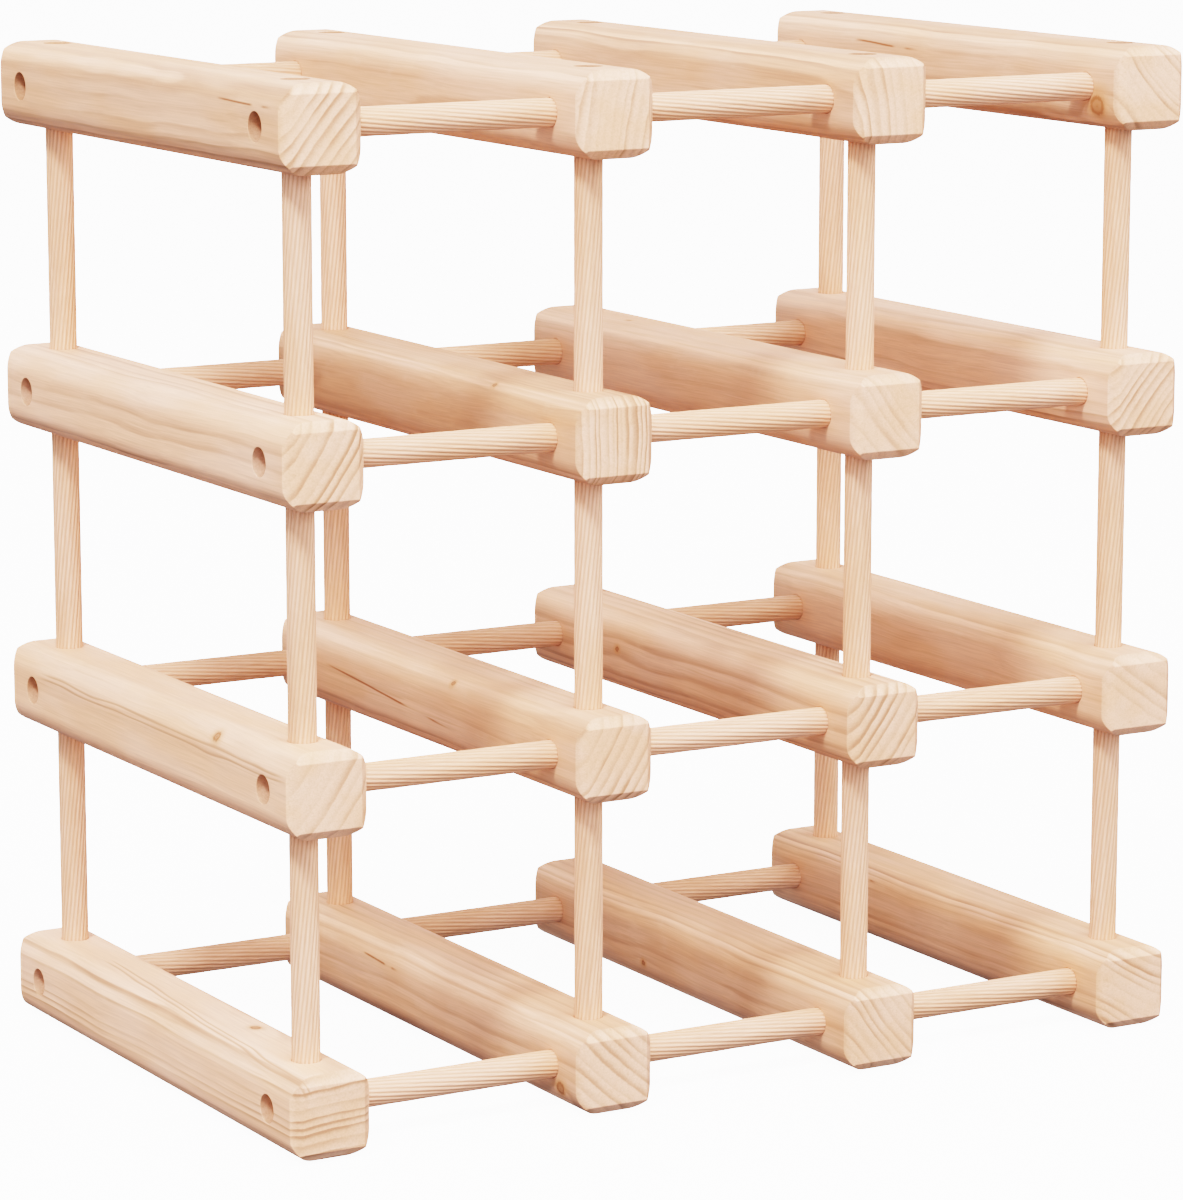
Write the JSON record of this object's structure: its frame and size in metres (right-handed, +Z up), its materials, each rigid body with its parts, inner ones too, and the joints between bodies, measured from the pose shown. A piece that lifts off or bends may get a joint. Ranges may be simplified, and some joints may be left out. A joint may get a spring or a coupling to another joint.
{
  "type": "wine rack",
  "caption": "Modular wooden wine rack: squared bars front to back, held in a grid by round dowel rails and posts, with open cells for bottles laid flat.",
  "frame": {"origin": "on the floor, under the middle of the rack", "axes": "+X to the right seen from the front, +Y from front to back along the bars, +Z up"},
  "size_m": [0.36, 0.23, 0.36],
  "materials": {
    "bar_wood": "unfinished planed solid pine, matt, fine sanded",
    "dowel_wood": "unfinished turned pine dowel, matt, finely ribbed"
  },
  "bodies": {
    "root": {"bar_row1_col1": "bar_wood", "bar_row1_col2": "bar_wood", "bar_row1_col3": "bar_wood", "bar_row1_col4": "bar_wood", "bar_row2_col1": "bar_wood", "bar_row2_col2": "bar_wood", "bar_row2_col3": "bar_wood", "bar_row2_col4": "bar_wood", "bar_row3_col1": "bar_wood", "bar_row3_col2": "bar_wood", "bar_row3_col3": "bar_wood", "bar_row3_col4": "bar_wood", "bar_row4_col1": "bar_wood", "bar_row4_col2": "bar_wood", "bar_row4_col3": "bar_wood", "bar_row4_col4": "bar_wood", "rail_front_row1_bay1": "dowel_wood", "rail_front_row1_bay2": "dowel_wood", "rail_front_row1_bay3": "dowel_wood", "rail_front_row2_bay1": "dowel_wood", "rail_front_row2_bay2": "dowel_wood", "rail_front_row2_bay3": "dowel_wood", "rail_front_row3_bay1": "dowel_wood", "rail_front_row3_bay2": "dowel_wood", "rail_front_row3_bay3": "dowel_wood", "rail_front_row4_bay1": "dowel_wood", "rail_front_row4_bay2": "dowel_wood", "rail_front_row4_bay3": "dowel_wood", "rail_back_row1": "dowel_wood", "rail_back_row2_bay1": "dowel_wood", "rail_back_row2_bay2": "dowel_wood", "rail_back_row2_bay3": "dowel_wood", "rail_back_row3_bay1": "dowel_wood", "rail_back_row3_bay2": "dowel_wood", "rail_back_row3_bay3": "dowel_wood", "rail_back_row4": "dowel_wood", "post_front_col1_tier1": "dowel_wood", "post_front_col1_tier2": "dowel_wood", "post_front_col1_tier3": "dowel_wood", "post_front_col2_tier1": "dowel_wood", "post_front_col2_tier2": "dowel_wood", "post_front_col2_tier3": "dowel_wood", "post_front_col3_tier1": "dowel_wood", "post_front_col3_tier2": "dowel_wood", "post_front_col3_tier3": "dowel_wood", "post_front_col4_tier1": "dowel_wood", "post_front_col4_tier2": "dowel_wood", "post_front_col4_tier3": "dowel_wood", "post_back_col1_tier1": "dowel_wood", "post_back_col1_tier2": "dowel_wood", "post_back_col1_tier3": "dowel_wood", "post_back_col2_tier1": "dowel_wood", "post_back_col2_tier2": "dowel_wood", "post_back_col2_tier3": "dowel_wood", "post_back_col3_tier1": "dowel_wood", "post_back_col3_tier2": "dowel_wood", "post_back_col3_tier3": "dowel_wood", "post_back_col4_tier1": "dowel_wood", "post_back_col4_tier2": "dowel_wood", "post_back_col4_tier3": "dowel_wood"}
  },
  "joints": []
}
